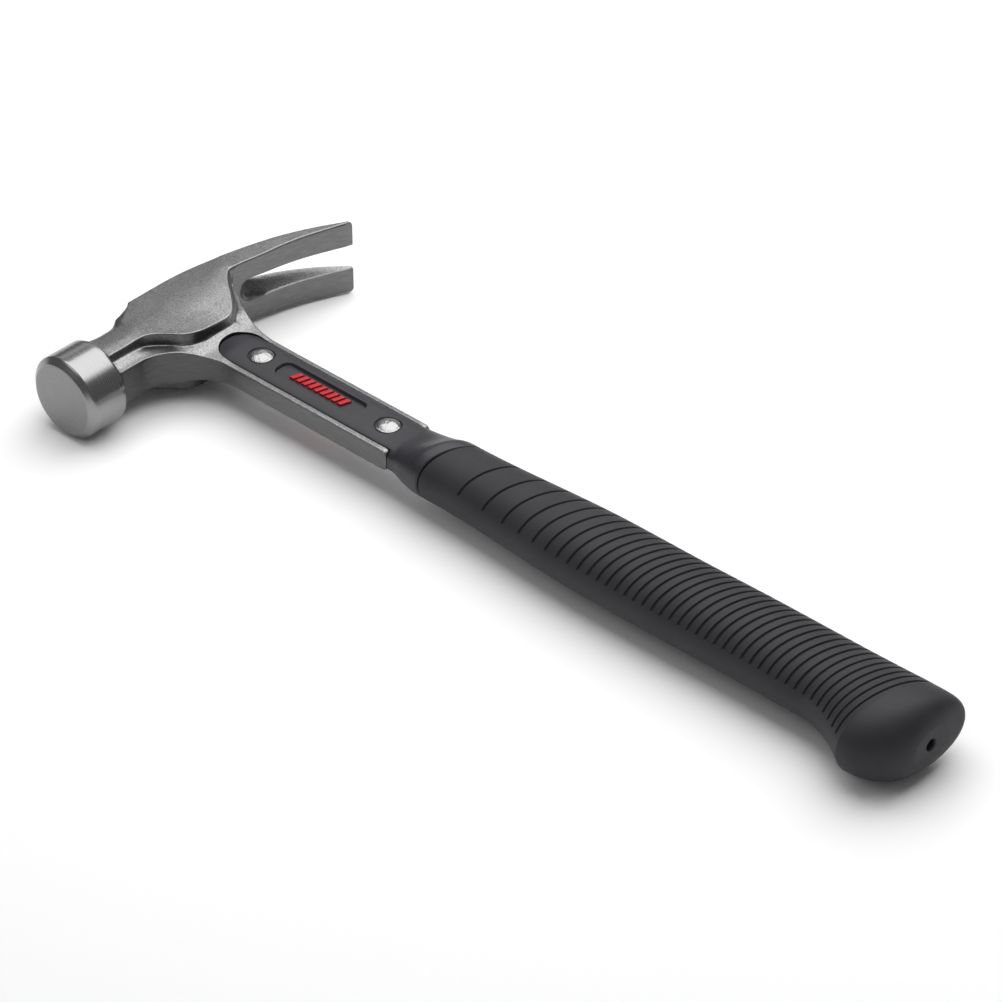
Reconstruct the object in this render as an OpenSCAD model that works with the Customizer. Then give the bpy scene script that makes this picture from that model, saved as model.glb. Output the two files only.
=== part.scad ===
// Framing hammer: a forged T-shaped steel head with a straight split claw, riveted into a forked
// plastic shaft that carries a rubber grip with a flared, hooked butt.
// The hammer lies on its side with one cheek up. +X runs from the head to the butt, the striking face
// looks along -Y and the claw points along +Y. Distances along X start at the strike axis, distances
// along Y at the handle's axis. The origin lies under the middle of the hammer's outer box.

/* [Striking face] */
// Diameter of the bell
bell_d = 32; // [28:0.5:36]
// Diameter of the flat of the striking face
face_d = 27; // [22:0.5:28]
// Depth of the chamfer round the face
face_chamfer = 2; // [1:0.25:3]
// Distance from the handle's axis to the striking face
face_reach = 62.2; // [58:0.2:70]
// Length of the bell, chamfer included
bell_len = 18; // [14:0.5:20]
// Length of the taper behind the bell
bell_taper = 9.5; // [7:0.5:11]
// Diameter of the neck
neck_d = 23.6; // [21:0.2:25]

/* [Cheeks] */
// Thickness across the cheeks
cheek_t = 26; // [25.2:0.2:28]
// Distance from the strike axis to the top of the head
head_top = 13.9; // [13:0.1:15.5]
// Distance from the strike axis to the lower edge of the cheeks
cheek_drop = 20.2; // [18:0.2:24]
// Distance of the cheeks' lower front corner from the handle's axis, towards the face
cheek_front = 12.6; // [11:0.2:14]
// Distance of the cheeks' lower rear corner from the handle's axis, towards the claw
cheek_rear = 3; // [1:0.2:5]
// Distance of the cheeks' upper front corner from the handle's axis, towards the face
cheek_brow = 15.6; // [14:0.2:17]
// Cut across the cheeks' lower corners
cheek_cut = 2; // [1:0.2:3]
// Width of the ledge between the cheeks' front edge and the plate's edge
ledge = 3; // [2:0.2:4]

/* [Nail starter] */
// Length of the raised seat in front of the cheeks
seat_len = 10.5; // [9:0.5:12]
// Width of the raised seat
seat_w = 19; // [16:0.5:22]
// How far the seat lies below the top of the head
seat_drop = 0.4; // [0.2:0.1:1]
// Width of the nail groove
groove_w = 6; // [4.5:0.25:7]
// Depth of the nail groove
groove_depth = 2.8; // [2:0.1:3.2]
// Diameter of the magnet
magnet_d = 5.6; // [4:0.1:6.4]
// Thickness of the magnet
magnet_t = 3; // [2:0.1:4]

/* [Claw] */
// Distance from the handle's axis to the tips of the claw
claw_reach = 73.8; // [68:0.2:82]
// Radius of the claw's back, seen from the side
claw_r = 112; // [100:1:160]
// Distance from the handle's axis to where the claw's back starts to curve
claw_bend = 3.7; // [1:0.1:8]
// Width across the tips of the two tines
claw_tip_w = 31.2; // [28:0.2:34]
// Thickness of the tips
claw_tip_t = 1.3; // [1:0.1:2.5]
// Thickness of the claw at the root of its slot
claw_root_t = 10; // [8:0.1:10.5]
// Distance from the handle's axis to the root of the slot
slot_root = 29.7; // [28:0.1:34]
// Width of the slot at its root
slot_root_w = 8.4; // [6:0.1:9]
// Width of the slot between the tips
slot_tip_w = 9.8; // [9:0.1:12]

/* [Shank] */
// Width of the shank, front to rear
shank_w = 22.4; // [20:0.2:25]
// Thickness of the shank over its rails
shank_t = 8.4; // [7.4:0.1:10]
// Distance from the strike axis to the end of the rails
shank_end = 110.5; // [107:0.5:114]
// Width of each rail
rail_w = 2.1; // [1.5:0.1:3]
// Thickness of the web between the rails, and of the tang
web_t = 3.8; // [3:0.1:4.6]
// Thickness of the shank's plate where it meets the neck
plate_t = 13.8; // [12:0.2:16]
// Distance from the strike axis to where the plate has narrowed to the shank
flare_end = 33; // [30:0.5:36]
// Distance from the handle's axis to where the front flare leaves the neck
flare_front = 33; // [30:0.5:34]
// Distance from the handle's axis to where the rear flare leaves the claw
flare_rear = 25; // [22:0.5:27]
// Distance from the strike axis to the rounded end of the pockets in the shank
pocket_start = 19.9; // [18:0.1:23]
// Width of the tang inside the shaft
tang_w = 13; // [9:0.5:14]
// Distance from the strike axis to the end of the tang
tang_end = 205; // [160:1:240]

/* [Shaft] */
// Distance from the strike axis to the end of the collar
collar_end = 131; // [127:0.5:136]
// Width of the collar at its end
collar_w = 26.8; // [25:0.2:29]
// Thickness of the collar at its end
collar_t = 21.6; // [19:0.2:24]
// Slant of the collar's end, in mm along the handle for each mm towards the claw
slant = 0.36; // [0:0.02:0.5]
// How far the tongues between the rails are crowned above the rails
crown = 1.5; // [1:0.1:2]
// Wall of rubber over the shaft's core
rubber_wall = 3.4; // [2.4:0.1:4]
// Length of solid rubber between the end of the core and the end of the butt
butt_solid = 27; // [23:1:45]

/* [Rivets] */
// Distance from the strike axis to the upper rivet
rivet_x = 38; // [35:0.2:42]
// Distance between the two rivets
rivet_pitch = 62.8; // [58:0.2:65]
// Diameter of the rivets' shanks
rivet_d = 5; // [3.5:0.1:6]
// Diameter of the rivets' heads
rivet_head_d = 8.9; // [7.5:0.1:10.5]
// Height of the rivets' domed heads
rivet_head_h = 1.5; // [1:0.1:2.2]
// How far the rivets' heads are sunk into the crowned tongues
rivet_sink = 0.3; // [0.1:0.05:0.5]

/* [Panels] */
// Distance from the strike axis to the middle of the sunk panels
panel_x = 67.6; // [66:0.2:70]
// Length of the sunk panels
panel_len = 40; // [30:0.5:44]
// Width of the sunk panels
panel_w = 8.2; // [7:0.2:11]
// Depth of the sunk panels
panel_depth = 1.2; // [0.9:0.05:1.6]
// Margin between the red inlay and the ends of its panel
inlay_end = 6.2; // [3:0.2:8]
// Margin between the red inlay and the sides of its panel
inlay_side = 1.9; // [1:0.1:2.6]
// Number of raised bars on the inlay
inlay_bars = 9; // [5:1:12]

/* [Grip] */
// Width of the grip in the hand
grip_w = 33.8; // [31:0.2:37]
// Thickness of the grip in the hand
grip_t = 24.2; // [23:0.2:29]
// Length over which the grip swells behind the collar
swell_len = 76; // [60:1:90]
// Distance from the strike axis to where the hook of the butt begins
hook_start = 301; // [290:1:306]
// Distance from the strike axis to the tip of the hook
hook_tip = 329; // [322:0.5:334]
// How far the hook reaches out towards the face
hook_reach = 13.6; // [6:0.1:16]
// Thickness of the butt
butt_t = 30; // [25:0.2:31]
// Slant of the last grooves and of the butt, in mm along the handle for each mm towards the claw
butt_slant = 0.27; // [0:0.01:0.4]
// Distance from the strike axis to the end of the butt
butt_end = 345; // [342:0.2:356]
// Length of the rounded end of the butt
cap_len = 12.3; // [8:0.1:14]
// Diameter of the hole in the butt
hole_d = 4.4; // [3:0.1:6]
// Depth of the hole in the butt
hole_depth = 16; // [8:0.5:19]
// Distance of the hole from the handle's axis, towards the face
hole_offset = 2.8; // [0:0.2:4]

/* [Grip grooves] */
// Distance from the strike axis to the first groove
rib_start = 150.7; // [146:0.1:154]
// Distance from groove to groove in the hand
rib_pitch = 3.78; // [3.4:0.02:3.9]
// Extra distance between the first two grooves, which dies away along the grip
rib_extra = 8.42; // [4:0.02:9]
// Width of the grooves
cut_w = 1.2; // [0.8:0.1:1.6]
// Depth of the grooves
cut_depth = 0.8; // [0.4:0.1:1.2]

/* [Fits] */
// Gap all round the fork in its pockets
fork_gap = 0.2; // [0.1:0.05:0.4]
// Gap round the tang and the core
seat_gap = 0.1; // [0.05:0.05:0.3]
// Gap round the rivets' shanks and the magnet
pin_gap = 0.05; // [0.02:0.01:0.15]
// Gap round the rivets' heads in their recesses
head_gap = 0.45; // [0.2:0.05:0.8]

/* [Hidden] */
$fn = 64;
curve_steps = 12;
section_sides = 32;
over = 1;

bell_r = bell_d / 2;
neck_r = neck_d / 2;
shank_half = shank_w / 2;
pocket_half = shank_half - rail_w;
pocket_depth = (shank_t - web_t) / 2;
rivet_places = [rivet_x, rivet_x + rivet_pitch];
seat_front = -cheek_brow - seat_len;
magnet_y = seat_front + seat_len / 2;
groove_floor = -head_top + groove_depth;
claw_taper = (claw_root_t - claw_tip_t) / (claw_reach - slot_root);
block_end = flare_rear + cheek_cut;
claw_inner = claw_bend + claw_root_t;
tongue_top = shank_t / 2 + crown;
rivet_seat = tongue_top - rivet_sink;
rivet_recess_d = rivet_head_d + 2 * head_gap;
panel_floor = tongue_top - panel_depth;
inlay_len = panel_len - 2 * inlay_end;
inlay_w = panel_w - 2 * inlay_side;
inlay_base = panel_depth / 3;
bar_slope = 0.3;
bar_lean = bar_slope * inlay_w;
bar_pitch = (inlay_len - bar_lean) / inlay_bars;
bar_half = bar_pitch / 3;
core_end = butt_end - butt_solid;
flare_lip = 1.3;
flare_pull = 0.47;
collar_square = 2.8;
oval_square = 2.1;

// Curves

// Ease from 0 to 1 along half a cosine wave, flat beyond both ends
function ease(t) = (1 - cos(180 * min(1, max(0, t)))) / 2;

// Points along a cubic curve between a and d, drawn towards b and c
function cubic(a, b, c, d) = [
    for (i = [0:curve_steps])
        let (t = i / curve_steps, s = 1 - t)
            s * s * s * a + 3 * s * s * t * b + 3 * s * t * t * c + t * t * t * d
];

// Height of the head's top line: level over the cheeks, then an arc along the claw
function back_x(y) = -head_top + claw_r - sqrt(claw_r * claw_r - pow(max(0, y - claw_bend), 2));

// Height of the claw's underside: the top line plus a thickness that tapers evenly to the tips
function under_x(y) = back_x(y) + claw_tip_t + claw_taper * (claw_reach - y);

// Half thickness of the shank's plate at a distance from the strike axis
function plate_half(x) = (plate_t + (shank_t - plate_t) * ease((x - neck_r) / (flare_end - neck_r))) / 2;

// Sections of the handle

// One section is [x, front, rear, half thickness, slant, squareness, depth of cut]. The cut leaves a
// plain band along the front, between two angles round the section
plain_from = 161;
plain_to = 218;
function section_points(s) = [
    for (i = [0:section_sides - 1])
        let (
            a = 360 * i / section_sides,
            c = cos(a),
            n = sin(a),
            cut = a > plain_from && a < plain_to ? 0 : s[6],
            y = (s[1] + s[2]) / 2 + ((s[2] - s[1]) / 2 - cut) * sign(c) * pow(abs(c), 2 / s[5]),
            z = (s[3] - cut) * sign(n) * pow(abs(n), 2 / s[5])
        )
            [s[0] + s[4] * y, y, z]
];

// A skin carried over a row of sections, closed at both ends
module skin(sections) {
    n = section_sides;
    last = len(sections) - 1;
    sides = [
        for (k = [0:last - 1], i = [0:n - 1])
            let (a = k * n + i, b = k * n + (i + 1) % n)
                each [[a, b + n, b], [a, a + n, b + n]]
    ];
    ends = [[for (i = [0:n - 1]) i], [for (i = [n - 1:-1:0]) last * n + i]];
    polyhedron([for (s = sections) each section_points(s)], concat(sides, ends));
}

// How far the grip has swelled, and how far the hook has come out, at a distance x. The slant sets the
// front of a section back, so the hook comes out later by that much
hook_power = 1.7;
hook_lag = butt_slant * (grip_w + hook_reach) / 2;
function swell(x) = ease((x - collar_end) / swell_len);
function hook(x) = pow(min(1, max(0, (x - hook_lag - hook_start) / (hook_tip - hook_start))), hook_power);

// The grip's front and rear lines and half thickness: a straight swell, a slight sweep to the rear,
// then the hook towards the face
palm_sweep = 0.6;
sweep_start = 228;
sweep_len = 45;
function sweep(x) = palm_sweep * ease((x - sweep_start) / sweep_len);
function grip_half(x) = (collar_w + (grip_w - collar_w) * swell(x)) / 2;
function grip_front(x) = -grip_half(x) + sweep(x) - hook_reach * hook(x);
function grip_rear(x) = grip_half(x) + sweep(x);
function grip_top(x) = (collar_t + (grip_t - collar_t) * swell(x) + (butt_t - grip_t) * hook(x)) / 2;
function grip_slant(x) = slant + (butt_slant - slant) * ease((x - collar_end) / (hook_tip - collar_end));
function grip_section(x, wall = 0, cut = 0) =
    [x, grip_front(x) + wall, grip_rear(x) - wall, grip_top(x) - wall, grip_slant(x), oval_square, cut];

// The rounded end: each section of the butt shrinks towards a point behind the middle of the end, and
// the slant dies away to a level end round the hole
cap_power = 3;
cap_flat = 0.42;
cap_start = butt_end - cap_len;
cap_centre = 0.6;
cap_level = 4;
function cap_section(u) =
    let (
        k = pow(1 - pow(u, cap_power) * (1 - pow(cap_flat, cap_power)), 1 / cap_power),
        front = grip_front(cap_start),
        rear = grip_rear(cap_start),
        middle = front + (rear - front) * cap_centre
    )
        [cap_start + u * cap_len, middle + k * (front - middle), middle + k * (rear - middle),
         k * grip_top(cap_start), butt_slant * (1 - pow(u, cap_level)), oval_square, 0];
cap_row = [for (u = [0.25, 0.45, 0.62, 0.76, 0.87, 0.95, 1]) cap_section(u)];

// The main grooves: all of the first ones, which lie far apart, then every second one
rib_fade = 0.725;
last_cut = 36;
main_cuts = [0, 1, 2, 3, each [4:2:last_cut]];
function cut_x(i) = rib_start + i * rib_pitch + rib_extra * (1 - pow(rib_fade, i)) / (1 - rib_fade);
last_cut_end = cut_x(last_cut) + cut_w / 2;
hook_steps = 5;
function grip_row() = concat(
    [grip_section(collar_end)],
    [
        for (i = main_cuts)
            let (x = cut_x(i))
                each [grip_section(x - cut_w / 2), grip_section(x, 0, cut_depth), grip_section(x + cut_w / 2)]
    ],
    [for (i = [1:hook_steps]) grip_section(last_cut_end + i / hook_steps * (cap_start - last_cut_end))]
);

// The core that the grip is moulded over, straight from the start of the hook, with a gap round it
core_steps = 8;
function core_x(i) = collar_end + i / core_steps * (hook_start - collar_end);
function moved(s, x) = [x, s[1], s[2], s[3], s[4], s[5], s[6]];
function core_row(gap) = concat(
    [for (i = [0:core_steps]) grip_section(core_x(i), rubber_wall - gap)],
    [moved(grip_section(hook_start, rubber_wall - gap), core_end + gap)]
);

// The hollow of the grip: the core and its gap, run out past the collar's end
function hollow_row() = concat([moved(core_row(seat_gap)[0], collar_end - over)], core_row(seat_gap));

// The collar: from the section of the shank it ramps up into the oval of the grip, and stays full over
// its last stretch
collar_steps = 8;
collar_ramp = 0.76;
function collar_section(t) =
    let (
        x = shank_end + fork_gap + t * (collar_end - shank_end - fork_gap),
        half = shank_half + (collar_w / 2 - shank_half) * ease(t),
        ramp = ease(t / collar_ramp),
        top = tongue_top + (collar_t / 2 - tongue_top) * ramp
    )
        [x, -half, half, top, slant * ramp, collar_square + (oval_square - collar_square) * ramp, 0];
function collar_row() = [for (i = [0:collar_steps]) collar_section(i / collar_steps)];

// Outer corners of the whole hammer, and the shift that sets the origin under their middle
butt_reach = max([for (s = cap_row) s[0] + s[4] * s[2]]);
low = [-max(bell_r, head_top), -face_reach, -max(bell_d, cheek_t, claw_tip_w, butt_t) / 2];
high = [butt_reach, claw_reach, -low[2]];
shift = [-(low[0] + high[0]) / 2, -(low[1] + high[1]) / 2, -low[2]];

// Shared shapes

// Moves a piece from the hammer's own axes to the part's frame
module placed() {
    translate(shift) children();
}

// Bores for both rivets, right through
module rivet_bores(gap) {
    for (x = rivet_places)
        translate([x, 0, -cheek_t / 2]) cylinder(d = rivet_d + 2 * gap, h = cheek_t);
}

// Outline of one pocket, or of the fork's tongue that fills it
module pocket_outline(gap, end_x) {
    r = pocket_half - gap;
    round_x = pocket_start + pocket_half;
    translate([round_x, 0]) circle(r);
    translate([round_x, -r]) square([end_x - round_x, 2 * r]);
}

// Outline of the sunk panel with rounded ends
module panel_outline() {
    r = panel_w / 2;
    run = panel_len - panel_w;
    translate([panel_x - run / 2, -r]) square([run, panel_w]);
    for (side = [-1, 1])
        translate([panel_x + side * run / 2, 0]) circle(r);
}

// Parts of the forging

// Bell, taper and neck, turned round the strike axis
module bell_and_neck() {
    back = face_reach - bell_len;
    taper = [
        for (i = [0:curve_steps])
            let (t = i / curve_steps)
                [neck_r + (bell_r - neck_r) * ease(t), back - bell_taper * (1 - t)]
    ];
    profile = concat(
        [[0, 0], [neck_r, 0]],
        taper,
        [[bell_r, face_reach - face_chamfer], [face_d / 2, face_reach], [0, face_reach]]
    );
    rotate([90, 0, 0]) rotate_extrude() polygon(profile);
}

// The two cheeks: a shield-shaped slab under the level top line
module cheek_block() {
    top_line = [
        for (i = [0:curve_steps])
            let (y = claw_bend + i / curve_steps * (block_end - claw_bend))
                [back_x(y), y]
    ];
    shield = concat(
        [[-head_top, -cheek_brow]],
        top_line,
        [
            [under_x(block_end), block_end],
            [0, flare_rear - ledge],
            [cheek_drop - cheek_cut, cheek_rear + cheek_cut],
            [cheek_drop, cheek_rear],
            [cheek_drop, -cheek_front],
            [cheek_drop - cheek_cut, -cheek_front - cheek_cut],
            [neck_r - ledge, -flare_front + 2 * ledge]
        ]
    );
    linear_extrude(cheek_t, center = true) polygon(shield);
}

// Raised seat of the nail starter, between the neck and the cheeks
module nail_seat() {
    translate([-head_top + seat_drop, seat_front, -seat_w / 2]) cube([head_top, seat_len + over, seat_w]);
}

// Nail groove along the top of the seat, with the magnet's bore in its floor
module nail_groove() {
    translate([-head_top - over, seat_front - over, -groove_w / 2])
        cube([groove_depth + over, seat_len + over, groove_w]);
    translate([groove_floor - over, magnet_y, 0])
        rotate([0, 90, 0]) cylinder(d = magnet_d + 2 * pin_gap, h = magnet_t + over);
}

// Split claw: the side view cut by the plan view, with a slot that widens from a round root
module claw() {
    rows = [for (i = [0:2 * curve_steps]) claw_inner + i / (2 * curve_steps) * (claw_reach - claw_inner)];
    side = concat(
        [for (y = rows) [back_x(y), y]],
        [for (i = [len(rows) - 1:-1:0]) [under_x(rows[i]), rows[i]]]
    );
    plan = [
        [claw_inner, -cheek_t / 2], [slot_root, -cheek_t / 2], [claw_reach, -claw_tip_w / 2],
        [claw_reach, claw_tip_w / 2], [slot_root, cheek_t / 2], [claw_inner, cheek_t / 2]
    ];
    root_y = slot_root + slot_root_w / 2;
    past = claw_reach + over;
    slot = [
        [root_y, -slot_root_w / 2], [past, -slot_tip_w / 2], [past, slot_tip_w / 2], [root_y, slot_root_w / 2]
    ];
    deep = 2 * claw_reach;
    difference() {
        intersection() {
            linear_extrude(2 * claw_tip_w, center = true) polygon(side);
            rotate([90, 0, 90]) linear_extrude(deep, center = true) polygon(plan);
        }
        rotate([90, 0, 90]) linear_extrude(deep, center = true) polygon(slot);
        translate([0, root_y, 0]) rotate([0, 90, 0]) cylinder(d = slot_root_w, h = deep, center = true);
    }
}

// Plate that flares from the neck and the claw into the shank, as thick as plate_half says
module plate_and_shank() {
    lip = neck_r - flare_lip;
    front_flare = cubic(
        [lip, -flare_front],
        [lip, -flare_front + flare_pull * (flare_front - shank_half)],
        [flare_end - flare_pull * (flare_end - lip), -shank_half],
        [flare_end, -shank_half]
    );
    rear_pull = flare_pull * (flare_rear - shank_half);
    rear_flare = cubic(
        [flare_end, shank_half],
        [flare_end - flare_pull * flare_end, shank_half],
        [rear_pull, flare_rear - rear_pull],
        [0, flare_rear]
    );
    rails = [[shank_end, -shank_half], [shank_end, shank_half]];
    outline = concat([[0, -flare_front]], front_flare, rails, rear_flare);
    edge = [for (i = [0:curve_steps]) neck_r + i / curve_steps * (flare_end - neck_r)];
    profile = concat(
        [[-neck_r, -plate_t / 2]],
        [for (x = edge) [x, -plate_half(x)]],
        [[shank_end, -shank_t / 2], [shank_end, shank_t / 2]],
        [for (i = [curve_steps:-1:0]) [edge[i], plate_half(edge[i])]],
        [[-neck_r, plate_t / 2]]
    );
    intersection() {
        linear_extrude(2 * plate_t, center = true) polygon(outline);
        rotate([90, 0, 0]) linear_extrude(4 * flare_front, center = true) polygon(profile);
    }
}

// Sub-parts

// One steel forging: bell, neck, cheeks, claw, railed shank and tang
module head_forging() {
    color("dimgray") placed() difference() {
        union() {
            bell_and_neck();
            cheek_block();
            nail_seat();
            claw();
            plate_and_shank();
            translate([shank_end - over, -tang_w / 2, -web_t / 2])
                cube([tang_end - shank_end + over, tang_w, web_t]);
        }
        nail_groove();
        for (side = [0, 1])
            mirror([0, 0, side]) translate([0, 0, web_t / 2])
                linear_extrude(cheek_t) pocket_outline(0, shank_end + over);
        rivet_bores(pin_gap);
    }
}

// Round magnet, flush with the floor of the nail groove
module starter_magnet() {
    color("silver") placed() translate([groove_floor, magnet_y, 0])
        rotate([0, 90, 0]) cylinder(d = magnet_d, h = magnet_t);
}

// One tongue of the fork, which fills a pocket and is crowned across its width
module tongue() {
    crown_r = (pocket_half * pocket_half + crown * crown) / (2 * crown);
    intersection() {
        translate([0, 0, web_t / 2])
            linear_extrude(pocket_depth + crown) pocket_outline(fork_gap, shank_end + over);
        translate([0, 0, tongue_top - crown_r])
            rotate([0, 90, 0]) cylinder(r = crown_r, h = shank_end + 2 * over, $fn = 2 * $fn);
    }
}

// One plastic moulding: two tongues in the pockets, the collar, and the core under the grip
module shaft() {
    color("#26272c") placed() difference() {
        union() {
            for (side = [0, 1])
                mirror([0, 0, side]) tongue();
            skin(concat(collar_row(), core_row(0)));
        }
        translate([shank_end - over, -tang_w / 2 - seat_gap, -web_t / 2 - seat_gap])
            cube([tang_end + seat_gap - shank_end + over, tang_w + 2 * seat_gap, web_t + 2 * seat_gap]);
        for (side = [0, 1])
            mirror([0, 0, side]) translate([0, 0, panel_floor])
                linear_extrude(panel_depth + over) panel_outline();
        for (x = rivet_places, side = [0, 1])
            mirror([0, 0, side]) translate([x, 0, rivet_seat]) cylinder(d = rivet_recess_d, h = crown);
        rivet_bores(pin_gap);
    }
}

// One rivet with a domed head on each face of the shaft
module rivet(x) {
    head_r = rivet_head_d / 2;
    dome_r = (head_r * head_r + rivet_head_h * rivet_head_h) / (2 * rivet_head_h);
    color("white") placed() translate([x, 0, 0]) {
        cylinder(d = rivet_d, h = 2 * rivet_seat, center = true);
        for (side = [0, 1])
            mirror([0, 0, side]) translate([0, 0, rivet_seat]) intersection() {
                translate([0, 0, rivet_head_h - dome_r]) sphere(dome_r);
                cylinder(r = head_r, h = rivet_head_h);
            }
    }
}

module upper_rivet() {
    rivet(rivet_places[0]);
}

module lower_rivet() {
    rivet(rivet_places[1]);
}

// Red inlay of leaning bars on a thin base, lying on the floor of a sunk panel
module inlay(side) {
    bar = [
        [-bar_half, -inlay_w / 2], [bar_half, -inlay_w / 2],
        [bar_half + bar_lean, inlay_w / 2], [-bar_half + bar_lean, inlay_w / 2]
    ];
    first = panel_x - bar_lean / 2 - (inlay_bars - 1) / 2 * bar_pitch;
    color("red") placed() mirror([0, 0, side]) translate([0, 0, panel_floor]) {
        translate([panel_x - inlay_len / 2, -inlay_w / 2]) cube([inlay_len, inlay_w, inlay_base]);
        for (i = [0:inlay_bars - 1])
            translate([first + i * bar_pitch, 0]) linear_extrude(2 * inlay_base) polygon(bar);
    }
}

module top_inlay() {
    inlay(0);
}

module bottom_inlay() {
    inlay(1);
}

// Rubber grip over the core, with grooves, the hooked butt and a blind hole in its end
module grip() {
    color("#38383a") placed() difference() {
        skin(concat(grip_row(), cap_row));
        skin(hollow_row());
        translate([butt_end - hole_depth, -hole_offset, 0])
            rotate([0, 90, 0]) cylinder(d = hole_d, h = hole_depth + over);
    }
}

head_forging();
starter_magnet();
shaft();
upper_rivet();
lower_rivet();
top_inlay();
bottom_inlay();
grip();
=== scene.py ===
import math

import bmesh
import bpy
import numpy as np
from mathutils import Matrix, Vector


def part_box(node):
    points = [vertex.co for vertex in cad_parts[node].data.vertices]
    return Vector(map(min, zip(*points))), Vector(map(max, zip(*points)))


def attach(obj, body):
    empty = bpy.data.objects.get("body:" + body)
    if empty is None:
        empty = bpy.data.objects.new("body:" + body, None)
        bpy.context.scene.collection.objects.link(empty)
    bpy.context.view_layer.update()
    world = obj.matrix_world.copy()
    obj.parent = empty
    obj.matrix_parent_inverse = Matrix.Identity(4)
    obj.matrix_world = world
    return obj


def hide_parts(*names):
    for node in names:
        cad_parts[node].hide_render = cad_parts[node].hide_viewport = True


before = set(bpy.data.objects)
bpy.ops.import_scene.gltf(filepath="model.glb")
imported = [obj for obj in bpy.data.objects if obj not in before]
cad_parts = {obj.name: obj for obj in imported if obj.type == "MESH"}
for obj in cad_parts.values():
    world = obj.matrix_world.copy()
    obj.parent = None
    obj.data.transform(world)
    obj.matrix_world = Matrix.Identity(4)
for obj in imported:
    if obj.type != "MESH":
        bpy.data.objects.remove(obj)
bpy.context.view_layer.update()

# Frame: millimetres from the strike point, x along the handle to the butt, y from face to claw, z up
MM = 0.001
FACE_REACH = 62.2
BELL_R = 16.0
head_low, head_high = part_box("head_forging")
STRIKE_POINT = np.array([
    head_low.x + BELL_R * MM,
    head_low.y + FACE_REACH * MM,
    (head_low.z + head_high.z) / 2,
])
MERGE = 2e-6
CREASE_ANGLE = 32
TINY = 1e-9
TINY_STEP = 1e-3

# Bell and neck
FACE_R = 13.5
FACE_CHAMFER = 2.0
BELL_EDGE = 0.7
BELL_BACK = -46.5
NECK = -34.5
NECK_END = -29.5
NECK_FADE = 6.0
BELL_FADE = [
    (BELL_BACK, 1), (-45.6, 0.95), (-44.9, 0.8), (-44.2, 0.42), (-43.6, 0.16), (-42.6, 0.03), (-41.5, 0)
]
BELL_FADE_TOP = [
    (BELL_BACK, 1), (-45.2, 0.99), (-44.3, 0.92), (-43.3, 0.7), (-42, 0.42), (-39.5, 0.18), (-37, 0.05),
    (NECK, 0)
]
NAIL_GROOVE_FLOOR = 2.8
NAIL_GROOVE_EDGE = 3.1

# Claw
CLAW_R = 119.5
CLAW_BEND = 0.5
CLAW_TIP = 73.8
CLAW_T = [
    (25.0, 10.0), (30.5, 9.3), (33.6, 9.15), (39.0, 8.7), (47.0, 7.3), (55.0, 5.8), (62.0, 4.5),
    (70.8, 2.3), (CLAW_TIP, 1.0)
]
CLAW_HALF_W = [(27.0, 12.8), (36.3, 13.2), (51.0, 14.2), (CLAW_TIP, 15.6)]
CLAW_START = 22.0
CLAW_PASSAGE = 6.0
CLAW_CHAMFER = 0.7
TIP_CORNER = 1.6
HOLLOW_ROOT = 28.2
HOLLOW_R = 4.6
HOLLOW_TIP_HALF_W = 5.0
SLOT_EDGE = 0.4
SLOT_ROOT = 34.5
SLOT_R = 1.3
SLOT_HALF_W = [(35.8, SLOT_R), (45.0, 1.7), (58.7, 2.8), (CLAW_TIP, 4.6)]

# Half profile of the head: knots of y and value, with drops measured down from the top line
TOP_LINE = [(NECK, -12.3), (-27, -12.2), (-24.6, -13.3), (-17.2, -13.5), (-15.2, -14.5), (CLAW_BEND, -14.6)]
NAIL_GROOVE_DROP = [(-30.5, 0), (-26.2, 1.1), (-24.8, 2.3), (-16.4, 2.8), (-15.7, 0)]
BROW_DROP = [(NECK, 1.9), (-28.5, 2.8), (-26.4, 2.2), (-24, 2.1), (-19, 0.65), (-16.5, 0.1), (-15.2, 0)]
BROW_Z = [(NECK, 8), (-28.5, 9.6), (-26.4, 10.5), (-24, 10.9), (-19, 11), (-15.2, 11.8), (10, 12)]
TEMPLE_DROP = [
    (NECK, 4.7), (-28.5, 5.2), (-26, 5.6), (-24, 5.1), (-22, 3.8), (-19.3, 2.1), (-17.2, 0.8), (-15.2, 0.5)
]
TEMPLE_Z = [(NECK, 10.5), (-30, 10.8), (-27, 11.3), (-24, 11.8), (-19.3, 12), (-15.2, 12.2)]
CHEEK_X = [(NECK, -1), (-15, -1), (0, 0), (14, -2), (22, -6)]
CHEEK_Z = [(NECK, 11.7), (-20, 12.3), (-10, 12.7), (0, 12.9)]
BEVEL_TOP_X = [
    (NECK, 4.5), (-29, 4.7), (-26.6, 5.05), (-24.1, 6.3), (-20.2, 10.1), (-15.8, 15.1), (-11.8, 17),
    (-8, 17.6), (3.5, 17.4), (6.2, 16.6), (8.7, 14.8), (12.3, 11), (15, 7.4), (17.3, 4.3), (20.2, 1),
    (23.6, -1.8), (26, -2.4)
]
BEVEL_TOP_Z = [
    (NECK, 11.2), (-20, 12.1), (-14, 12), (-8, 11.55), (3, 10.7), (6, 10.75), (12, 11.35), (17, 12.2),
    (27, 12.8)
]
BEVEL_FOOT_X = [
    (NECK, 4.7), (-29, 4.9), (-26.6, 5.25), (-24.1, 6.5), (-20.2, 10.3), (-15.8, 15.3), (-11.8, 17.2),
    (-8, 17.8), (3.4, 18), (6.2, 17.3), (9, 15.2), (13.5, 11.2), (17.2, 6.4), (20.9, 1.7), (22.5, 0.2),
    (23.5, -0.9), (25, -1.85)
]
BEVEL_FOOT_Z = [
    (NECK, 8.4), (-29, 8), (-24, 7.3), (-10, 7.2), (0, 7.1), (6, 7.5), (11, 8), (14, 7.9), (17.2, 7.6),
    (20.9, 7.2), (22.5, 7), (25, 9.5)
]
GROOVE_CUT = 0.3
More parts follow.
